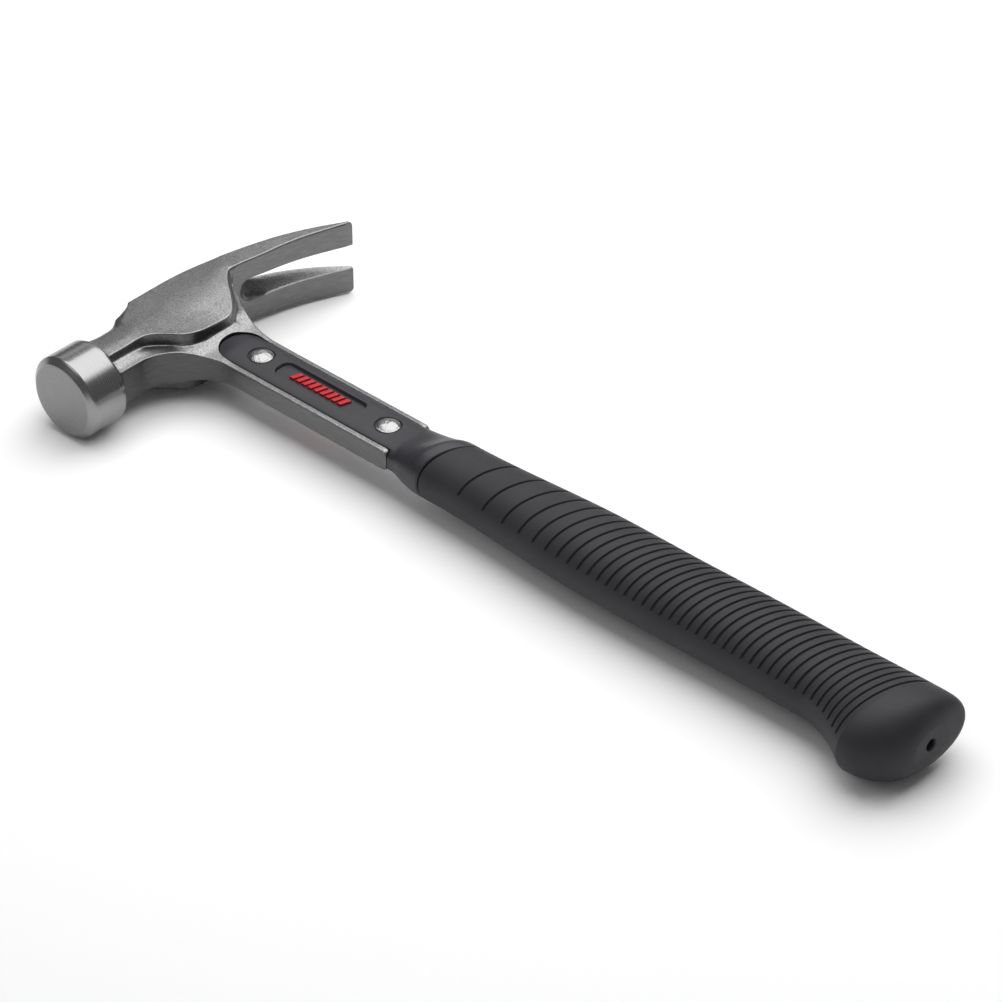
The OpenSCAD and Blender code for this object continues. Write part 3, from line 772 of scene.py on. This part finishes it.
def collar_side(x, side):
    """The collar's front (-1) or rear (1) at rows x: its superellipse from the tongue's width down to the
    middle plane."""
    half_w, height, square = (part[:, None] for part in shaft_section(x))
    start = np.arccos((TONGUE_HALF_W / half_w) ** (square / 2))
    angle = start * np.linspace(1, 0, 25)
    y = side * half_w * np.cos(angle) ** (2 / square)
    z = height * np.sin(angle) ** (2 / square)
    return points(x[:, None] + collar_lean(x[:, None]) * y, y, z)


def collar_lip(ring):
    """The collar's end: its last ring drawn in along a quarter circle, then straight in under the grip."""
    middle = np.array([COLLAR_END, 0, 0])
    inward = np.radians(np.linspace(0, 90, 7))
    scale = 1 - LIP_SHARE * (1 - np.cos(inward))[:, None, None]
    lip = middle + (ring - middle) * scale
    lip[..., 0] = ring[:, 0] + COLLAR_LIP * np.sin(inward)[:, None]
    tuck = middle + (lip[-1:] - middle) * COLLAR_TUCK
    tuck[..., 0] = lip[-1, :, 0]
    return [lip, np.concatenate([lip[-1:], tuck])]


def shaft_patches():
    """The upper half of the shaft: tongue and collar top in one grid, the tongue's straight side walls, the
    collar's sides and its lip."""
    tongue_x = tongue_rows()
    collar_x = np.linspace(COLLAR_START, COLLAR_END, 60)
    top = shaft_top(np.concatenate([tongue_x, collar_x]))
    tongue = slice(0, len(tongue_x) + 1)
    collar = slice(len(tongue_x), None)
    patches = [top]
    shoulders = []
    for side, column in ((-1, 0), (1, -1)):
        shoulder = collar_side(collar_x, side)
        shoulder[:, 0] = top[collar, column]
        wall = down_to(top[tongue, column], 0, 6)
        front = down_to(shoulder[0], 0, 6)
        front[:, 0] = wall[:, -1]
        shoulders.append(shoulder)
        patches += [shoulder, wall, front]
    ring = np.concatenate([shoulders[0][-1, :0:-1], top[-1], shoulders[1][-1, 1:]])
    return patches + collar_lip(ring)


# Grip: ovals carried along the handle, cut by slanting grooves, and closed by the hooked butt

def grip_sides(x):
    """Front, rear and top of the grip at x: swelling behind the collar, swept a little to the rear, and
    hooked to the front along a power curve up to the tip."""
    swell = ease((x - COLLAR_END) / SWELL_LEN)
    hook = np.clip((x - HOOK_START) / (HOOK_TIP - HOOK_START), 0, 1) ** HOOK_POWER
    sweep = SWEEP * ease((x - SWEEP_START) / SWEEP_LEN)
    half = COLLAR_HALF_W + (GRIP_HALF_W - COLLAR_HALF_W) * swell
    top = COLLAR_TOP + (GRIP_TOP - COLLAR_TOP) * swell + (BUTT_TOP - GRIP_TOP) * hook
    return -half + sweep - HOOK_REACH * hook, half + sweep, top


def groove_places():
    """Where the grooves cross the handle's axis: wide gaps at first, shrinking to an even pitch."""
    gaps = GROOVE_GAP + GROOVE_GAP_EXTRA * GROOVE_GAP_FADE ** np.arange(GROOVES - 1)
    return GROOVE_FIRST + np.concatenate([[0], np.cumsum(gaps)])


def grip_rows():
    """Where the grip's rings cross the handle's axis: seven rings to a groove, three between two grooves, and
    even steps before and after them."""
    grooves = groove_places()
    near = GROOVE_HALF_W * np.array([-1.2, -0.9, -0.5, 0, 0.5, 0.9, 1.2])
    groove_rows = (grooves[:, None] + near).ravel()
    between = (grooves[:-1, None] + np.diff(grooves)[:, None] * [0.36, 0.5, 0.64]).ravel()
    before = spaced(GRIP_START + GRIP_LIP, grooves[0] - 1, 1.2)
    after = spaced(grooves[-1] + 1, CAP_START, 0.6)
    return np.sort(np.concatenate([before, groove_rows, between, after]))[:, None]


def grip_lean(u):
    """How far the ring at u leans back for each millimetre of y: half a cosine wave from collar to butt."""
    return COLLAR_LEAN + (BUTT_LEAN - COLLAR_LEAN) * ease((u - COLLAR_END) / (HOOK_TIP - COLLAR_END))


def signed_power(value, power):
    """The value's size raised to a power, with the value's own sign."""
    return np.sign(value) * np.abs(value) ** power


def oval_shares(around):
    """How far across and how far up a ring's points lie, from -1 to 1: a superellipse by angle."""
    power = 2 / OVAL_SQUARE
    return signed_power(np.cos(around), power), signed_power(np.sin(around), power)


def grip_oval(x, around):
    """y and z of a ring whose points lie at x: the superellipse between the grip's front, rear and top."""
    front, rear, top = grip_sides(x)
    side, rise = oval_shares(around)
    return (front + rear) / 2 + (rear - front) / 2 * side, top * rise


def grip_outward(x, around):
    """The direction in y and z that points straight out of a ring: the gradient of its superellipse."""
    front, rear, top = grip_sides(x)
    side, rise = oval_shares(around)
    out_y = signed_power(side, OVAL_SQUARE - 1) / (rear - front) * 2
    out_z = signed_power(rise, OVAL_SQUARE - 1) / top
    size = np.hypot(out_y, out_z)
    return out_y / size, out_z / size


def groove_depth(u, z, around):
    """How deep the grooves cut: half an ellipse across each, which runs out round the plain band in front."""
    gap = np.min(np.abs(u[..., None] - groove_places()), -1)
    in_front = np.cos(around) < 0
    front_band = np.clip(np.minimum(PLAIN_TOP - z, z - PLAIN_BOTTOM), 0, None) * in_front
    away = np.hypot(gap, front_band) / GROOVE_HALF_W
    return GROOVE_DEPTH * np.sqrt(np.clip(1 - away ** 2, 0, 1))


def grip_body(around):
    """Leaning ovals with the grooves cut straight into them, and y and z of the last oval."""
    u = grip_rows()
    x = np.broadcast_to(u, (len(u), len(around)))
    # A ring leans, so its x depends on its y: a few rounds settle both
    for _ in range(6):
        y, z = grip_oval(x, around)
        x = u + grip_lean(u) * y
    depth = groove_depth(u, z, around)
    out_y, out_z = grip_outward(x, around)
    return points(x, y - depth * out_y, z - depth * out_z), y[-1], z[-1]


def grip_lip(around):
    """The grip's edge at the collar: its first oval, drawn in along a quarter circle."""
    first = GRIP_START + GRIP_LIP
    turn = np.radians(np.linspace(0, 90, 8))[:-1, None]
    y, z = grip_oval(np.full((1, len(around)), first), around)
    shrink = 1 - LIP_SHARE * np.cos(turn)
    x = GRIP_START + GRIP_LIP * np.sin(turn) + grip_lean(first) * y
    return points(x, y * shrink, z * shrink)


def grip_cap(last_y, last_z):
    """The butt's rounded end: the last oval, shrunk along a superellipse while its lean fades."""
    along = np.sin(np.radians(np.linspace(0, 90, 32)))[1:, None]
    scale = (1 - along ** CAP_SQUARE * (1 - CAP_END_SCALE ** CAP_SQUARE)) ** (1 / CAP_SQUARE)
    pivot = last_y.min() + CAP_CENTRE * (last_y.max() - last_y.min())
    y = pivot + (last_y - pivot) * scale
    lean = BUTT_LEAN * (1 - along ** CAP_LEVEL)
    return points(CAP_START + CAP_LEN * along + lean * y, y, last_z * scale)


def grip_end(edge, around):
    """The flat end from the cap's last ring to the hole, its rim's quarter circle, its wall and floor."""
    t = np.linspace(0, 1, 12)[1:, None, None]
    rim_r = HOLE_R + HOLE_RIM
    rim = points(BUTT_END, HOLE_Y + rim_r * np.cos(around), rim_r * np.sin(around))
    curl = np.radians(np.linspace(0, 90, 6))[1:, None]
    floor_r = np.array([[1], [1], [0.6], [0]]) * HOLE_R
    floor_depth = np.array([[0.5], [1], [1], [1]]) * HOLE_DEPTH
    radius = np.concatenate([rim_r - HOLE_RIM * np.sin(curl), floor_r])
    x = BUTT_END - np.concatenate([HOLE_RIM * (1 - np.cos(curl)), floor_depth])
    hole = points(x, HOLE_Y + radius * np.cos(around), radius * np.sin(around))
    return np.concatenate([edge + t * (rim - edge), hole])


def grip_patches(columns=192):
    """The whole grip as rings: its lip, the grooved body, the cap, and the end with its hole."""
    around = np.linspace(0, 2 * np.pi, columns + 1)
    body, last_y, last_z = grip_body(around)
    cap = grip_cap(last_y, last_z)
    return [np.concatenate([grip_lip(around), body, cap, grip_end(cap[-1], around)])]


# Small parts

def turned_about_z(radius, height, x, columns=72):
    """Circles of those radii at those heights about an upright axis at x."""
    around = np.linspace(0, 2 * np.pi, columns + 1)
    return points(x + radius[:, None] * np.cos(around), radius[:, None] * np.sin(around), height[:, None])


def rivet_patches(x):
    """Half a rivet: a dome that is part of a sphere, a short rounded rim, and the shank to the middle."""
    sphere = (RIVET_HEAD_R ** 2 + RIVET_HEAD_H ** 2) / (2 * RIVET_HEAD_H)
    reach = np.linspace(0, math.asin((RIVET_HEAD_R - RIVET_RIM) / sphere), 22)
    dome_r = sphere * np.sin(reach)
    dome_z = RIVET_SEAT + RIVET_HEAD_H - sphere * (1 - np.cos(reach))
    rim = np.radians(np.linspace(30, 90, 5))
    rim_r = RIVET_HEAD_R - RIVET_RIM + RIVET_RIM * np.sin(rim)
    rim_z = dome_z[-1] - RIVET_RIM_DROP * (1 - np.cos(rim))
    radius = np.concatenate([dome_r, rim_r, [RIVET_HEAD_R, RIVET_R, RIVET_R]])
    height = np.concatenate([dome_z, rim_z, [RIVET_BASE, RIVET_BASE, 0]])
    return [turned_about_z(radius, height, x)]


def magnet_patches():
    """A short round magnet on the floor of the nail groove, with a rounded rim, turned about an axis in x."""
    rim = np.radians(np.linspace(0, 90, 6))
    rim_r = MAGNET_R - MAGNET_RIM + MAGNET_RIM * np.sin(rim)
    rim_depth = MAGNET_RIM * (1 - np.cos(rim))
    radius = np.concatenate([[0, 0.5 * MAGNET_R], rim_r, [MAGNET_R, 0]])
    depth = np.concatenate([[0, 0], rim_depth, [MAGNET_T, MAGNET_T]]) - MAGNET_PROUD
    around = np.linspace(0, 2 * np.pi, 65)
    y = MAGNET_Y + radius[:, None] * np.cos(around)
    return [points(MAGNET_X + depth[:, None], y, radius[:, None] * np.sin(around))]


def block(centre, half_length, half_w, low, high, lean, edge=0.22):
    """A leaning bar seen in plan as a parallelogram, with its top edges rounded: rings that shrink inwards
    as they rise, closed by a flat top."""
    turn = np.radians(np.linspace(0, 90, 6))
    inset = np.concatenate([[0], edge * (1 - np.cos(turn))])
    level = np.concatenate([[low], high - edge + edge * np.sin(turn)])
    sign_x = np.array([-1, 1, 1, -1, -1])
    sign_y = np.array([-1, -1, 1, 1, -1])
    y = (half_w - inset)[:, None] * sign_y
    x = centre + (half_length - inset)[:, None] * sign_x + lean * y
    return points(x, y, level[:, None])


def inlay_patches(side):
    """A row of leaning bars on the floor of the upper (1) or lower (-1) panel."""
    lean = BAR_SLOPE * INLAY_W
    pitch = (INLAY_LEN - lean) / INLAY_BARS
    floor = PANEL_FLOOR - BAR_SINK
    places = PANEL_X + (np.arange(INLAY_BARS) - (INLAY_BARS - 1) / 2) * pitch
    bars = [
        block(place, pitch / 3, INLAY_W / 2, floor, PANEL_FLOOR + INLAY_TOP, BAR_SLOPE) for place in places
    ]
    return [bar * [1, 1, side] for bar in bars]


# Materials

def add(tree, kind, inputs=None, **settings):
    """A new shader node with its settings, and with its inputs linked or set."""
    made = tree.nodes.new(kind)
    for name, value in settings.items():
        setattr(made, name, value)
    for socket, value in (inputs or {}).items():
        if isinstance(value, bpy.types.NodeSocket):
            tree.links.new(value, made.inputs[socket])
        else:
            made.inputs[socket].default_value = value
    return made


def start_material(name, **shader):
    """A new material, its node tree and its shader, with constant values set on the shader itself."""
    material = bpy.data.materials.new(name)
    material.use_nodes = True
    tree = material.node_tree
    principled = tree.nodes["Principled BSDF"]
    for socket, value in shader.items():
        principled.inputs[socket.replace("_", " ")].default_value = value
    return material, tree, principled


def object_place(tree, scale=(1, 1, 1)):
    """Object coordinates measured from the strike point, stretched by scale."""
    place = add(tree, "ShaderNodeTexCoord").outputs["Object"]
    moved = add(tree, "ShaderNodeVectorMath", {0: place, 1: tuple(STRIKE_POINT)}, operation="SUBTRACT")
    return add(tree, "ShaderNodeVectorMath", {0: moved.outputs[0], 1: scale}, operation="MULTIPLY").outputs[0]


def noise(tree, place, scale, detail=2.0, rough=0.5):
    """Noise whose bumps are about 1 / scale metres wide."""
    inputs = {"Vector": place, "Scale": scale, "Detail": detail, "Roughness": rough}
    return add(tree, "ShaderNodeTexNoise", inputs).outputs["Fac"]


def ramp(tree, factor, low, high, start=0.3, end=0.7):
    """A number that runs from low to high as factor runs from start to end."""
    inputs = {"Value": factor, "From Min": start, "From Max": end, "To Min": low, "To Max": high}
    return add(tree, "ShaderNodeMapRange", inputs).outputs["Result"]


def blend(tree, factor, first, second):
    """first where factor is 0, second where it is 1. Both may be colours or numbers."""
    node = add(tree, "ShaderNodeMix", data_type="RGBA")
    # A colour mix has its factor at input 0, its colours at inputs 6 and 7, its result at output 2
    for socket, value in ((node.inputs[0], factor), (node.inputs[6], first), (node.inputs[7], second)):
        if isinstance(value, bpy.types.NodeSocket):
            tree.links.new(value, socket)
        else:
            socket.default_value = value
    return node.outputs[2]


def bump(tree, height, depth, strength, normal=None):
    """A bump of that depth in metres, on top of another bump's normal if one is given."""
    inputs = {"Height": height, "Distance": depth, "Strength": strength}
    if normal:
        inputs["Normal"] = normal
    return add(tree, "ShaderNodeBump", inputs).outputs["Normal"]


def grey(level):
    """A neutral colour."""
    return (level, level, level, 1)


def steel_material():
    """Forged steel: speckled and softly dented, with a turned bell, brushed side walls and painted shade."""
    material, tree, shader = start_material("forged steel", Metallic=1.0)
    place = object_place(tree)
    grain = noise(tree, place, scale=1600, detail=4, rough=0.65)
    patches = noise(tree, place, scale=160, detail=3)
    streaks = noise(tree, object_place(tree, scale=(0.08, 0.08, 1)), scale=2600, detail=3)

    split = add(tree, "ShaderNodeSeparateXYZ", {"Vector": place}).outputs
    squares = [
        add(tree, "ShaderNodeMath", {0: split[axis], 1: split[axis]}, operation="MULTIPLY").outputs[0]
        for axis in "XZ"
    ]
    total = add(tree, "ShaderNodeMath", {0: squares[0], 1: squares[1]}, operation="ADD").outputs[0]
    radius = add(tree, "ShaderNodeMath", {0: total, 1: 0.5}, operation="POWER").outputs[0]
    feed = add(tree, "ShaderNodeMath", {0: split["Y"], 1: radius}, operation="ADD").outputs[0]
    lathe = add(
        tree, "ShaderNodeTexNoise", {"W": feed, "Scale": 3200, "Detail": 3}, noise_dimensions="1D"
    ).outputs["Fac"]

    turned, painted_shade, brushed = (
        add(tree, "ShaderNodeAttribute", attribute_name=name).outputs["Fac"]
        for name in ("turned", "painted_shade", "brushed")
    )
    skin = blend(tree, brushed, grain, streaks)
    specks = ramp(tree, grain, low=0, high=1, start=0.36, end=0.64)
    speckle = blend(tree, brushed, specks, ramp(tree, streaks, low=0.25, high=0.75))
    forged_colour = blend(tree, speckle, grey(0.15), grey(0.30))
    # Painted shade: a darker speckled grey, blended in on the faces that turn away from the softbox
    painted_shade_colour = blend(tree, speckle, grey(0.07), grey(0.11))
    turned_colour = blend(tree, ramp(tree, lathe, low=0, high=1), grey(0.26), grey(0.285))
    colour = blend(tree, turned, blend(tree, painted_shade, forged_colour, painted_shade_colour), turned_colour)
    tree.links.new(colour, shader.inputs["Base Color"])

    forged_rough = ramp(tree, patches, low=0.28, high=0.36)
    turned_rough = ramp(tree, lathe, low=0.22, high=0.28)
    tree.links.new(blend(tree, turned, forged_rough, turned_rough), shader.inputs["Roughness"])

    strength = blend(tree, turned, blend(tree, brushed, grey(0.8), grey(0.12)), grey(0.05))
    fine = bump(tree, blend(tree, turned, skin, lathe), depth=0.00006, strength=strength)
    broad = bump(tree, patches, depth=0.0005, strength=0.25, normal=fine)
    tree.links.new(blend(tree, turned, broad, fine), shader.inputs["Normal"])
    return material


def plastic_material():
    """Satin black plastic with a faint moulded grain."""
    material, tree, shader = start_material("satin plastic", Specular_IOR_Level=0.5)
    place = object_place(tree)
    grain = noise(tree, place, scale=2600, detail=3)
    clouds = noise(tree, place, scale=90, detail=3)
    tree.links.new(
        blend(tree, clouds, (0.013, 0.013, 0.018, 1), (0.019, 0.019, 0.026, 1)), shader.inputs["Base Color"]
    )
    tree.links.new(ramp(tree, clouds, low=0.36, high=0.46), shader.inputs["Roughness"])
    tree.links.new(bump(tree, grain, depth=0.00002, strength=0.5), shader.inputs["Normal"])
    return material


def rubber_material():
    """Dull dark rubber with a fine skin."""
    material, tree, shader = start_material("dull rubber", Specular_IOR_Level=0.34)
    place = object_place(tree)
    grain = noise(tree, place, scale=1900, detail=4, rough=0.6)
    clouds = noise(tree, place, scale=60, detail=3)
    shade = ramp(tree, clouds, low=0, high=1)
    colour = blend(tree, shade, (0.018, 0.018, 0.022, 1), (0.024, 0.024, 0.029, 1))
    tree.links.new(colour, shader.inputs["Base Color"])
    tree.links.new(ramp(tree, grain, low=0.5, high=0.64), shader.inputs["Roughness"])
    tree.links.new(bump(tree, grain, depth=0.00003, strength=0.6), shader.inputs["Normal"])
    return material


def rivet_material():
    """Bright plated steel, dented where it was closed."""
    material, tree, shader = start_material("bright rivet", Metallic=1.0)
    place = object_place(tree)
    dents = noise(tree, place, scale=420, detail=2)
    scratches = noise(tree, place, scale=3000, detail=3)
    tree.links.new(blend(tree, scratches, grey(0.27), grey(0.38)), shader.inputs["Base Color"])
    tree.links.new(ramp(tree, scratches, low=0.24, high=0.34), shader.inputs["Roughness"])
    tree.links.new(bump(tree, dents, depth=0.0009, strength=0.6), shader.inputs["Normal"])
    return material


def inlay_material():
    """Glossy red paint with a slight orange-peel skin."""
    material, tree, shader = start_material("red inlay", Specular_IOR_Level=0.35)
    place = object_place(tree)
    peel = noise(tree, place, scale=1200, detail=2)
    tree.links.new(
        blend(tree, peel, (0.40, 0.008, 0.014, 1), (0.50, 0.013, 0.021, 1)), shader.inputs["Base Color"]
    )
    tree.links.new(ramp(tree, peel, low=0.26, high=0.36), shader.inputs["Roughness"])
    tree.links.new(bump(tree, peel, depth=0.00003, strength=0.4), shader.inputs["Normal"])
    return material


def magnet_material():
    """Nickel plating, scuffed by nails."""
    material, tree, shader = start_material("plated magnet", Metallic=1.0)
    place = object_place(tree, scale=(1, 0.15, 1))
    scuffs = noise(tree, place, scale=2400, detail=4)
    tree.links.new(blend(tree, scuffs, grey(0.34), grey(0.5)), shader.inputs["Base Color"])
    tree.links.new(ramp(tree, scuffs, low=0.2, high=0.42), shader.inputs["Roughness"])
    tree.links.new(bump(tree, scuffs, depth=0.00003, strength=0.4), shader.inputs["Normal"])
    return material


def floor_material():
    """Matt white studio floor with a very faint unevenness."""
    material, tree, shader = start_material("studio floor", Roughness=0.9, Specular_IOR_Level=0.1)
    place = object_place(tree)
    tree.links.new(
        blend(tree, noise(tree, place, scale=6), grey(0.93), grey(0.95)), shader.inputs["Base Color"]
    )
    return material


# Building

forging = shell("head_steel", flipped(head_patches()))
mark_finishes_and_shade(forging)
hand_over(forging, steel_material(), "head_forging")

hand_over(shell("shaft_plastic", flipped(shaft_patches())), plastic_material(), "shaft")
hand_over(shell("grip_rubber", grip_patches()), rubber_material(), "grip")
hand_over(shell("magnet_disc", magnet_patches()), magnet_material(), "starter_magnet")

rivet_finish = rivet_material()
for node, place in RIVET_PLACES.items():
    hand_over(shell(node + "_turned", flipped(rivet_patches(place))), rivet_finish, node)

red = inlay_material()
for node, side in (("top_inlay", 1), ("bottom_inlay", -1)):
    hand_over(shell(node + "_bars", inlay_patches(side)), red, node)


# Stage: floor, a broad softbox overhead, a low card behind, a weaker fill at the left, dim surroundings

FLOOR_HALF = 4.0
SOFTBOX_PLACE = (-0.175, 0.6, 1.0)
SURROUNDINGS = 0.2

floor_mesh = bpy.data.meshes.new("floor")
floor_corners = [(sx * FLOOR_HALF, sy * FLOOR_HALF, 0) for sx, sy in ((-1, -1), (1, -1), (1, 1), (-1, 1))]
floor_mesh.from_pydata(floor_corners, [], [(0, 1, 2, 3)])
floor_mesh.materials.append(floor_material())
floor = bpy.data.objects.new("floor", floor_mesh)
bpy.context.scene.collection.objects.link(floor)


def panel_lamp(name, place, size, radiance, aim):
    """A flat lamp that shines from place towards aim with an even radiance."""
    lamp = bpy.data.lights.new(name, "AREA")
    lamp.shape = "RECTANGLE"
    lamp.size, lamp.size_y = size
    lamp.energy = radiance * math.pi * size[0] * size[1]
    holder = bpy.data.objects.new(name, lamp)
    turn = (Vector(place) - Vector(aim)).to_track_quat("Z", "Y")
    holder.matrix_world = Matrix.Translation(place) @ turn.to_matrix().to_4x4()
    holder.visible_camera = False
    bpy.context.scene.collection.objects.link(holder)


panel_lamp("softbox", SOFTBOX_PLACE, size=(1.39, 1.81), radiance=2.6, aim=SOFTBOX_PLACE[:2] + (0.0,))
panel_lamp("back card", (-1.45, 1.2, 0.88), size=(1.5, 0.42), radiance=0.85, aim=(-0.16, 0.0, 0.02))
panel_lamp("fill", (-0.5, -1.3, 1.6), size=(1.2, 1.2), radiance=1.2, aim=(0.1, -0.4, 0.0))

world = bpy.data.worlds.new("surroundings")
world.use_nodes = True
world.node_tree.nodes["Background"].inputs["Color"].default_value = grey(SURROUNDINGS)
bpy.context.scene.world = world


# Camera

LENS = 161.68
SENSOR = 36
AZIMUTH = math.radians(42.79)
ELEVATION = math.radians(36.67)
CAMERA_RIGHT = 0.11345
CAMERA_DOWN = 0.06298
CAMERA_BACK = 1.63125

back = Vector((
    math.sin(AZIMUTH) * math.cos(ELEVATION),
    -math.cos(AZIMUTH) * math.cos(ELEVATION),
    math.sin(ELEVATION),
))
right = Vector((math.cos(AZIMUTH), math.sin(AZIMUTH), 0))
up = back.cross(right)
camera_data = bpy.data.cameras.new("camera")
camera_data.lens = LENS
camera_data.sensor_width = SENSOR
camera = bpy.data.objects.new("camera", camera_data)
camera_place = Vector(STRIKE_POINT) + CAMERA_RIGHT * right - CAMERA_DOWN * up + CAMERA_BACK * back
camera.matrix_world = Matrix.Translation(camera_place) @ Matrix((right, up, back)).transposed().to_4x4()
bpy.context.scene.collection.objects.link(camera)
bpy.context.scene.camera = camera
bpy.context.scene.view_settings.view_transform = "Standard"
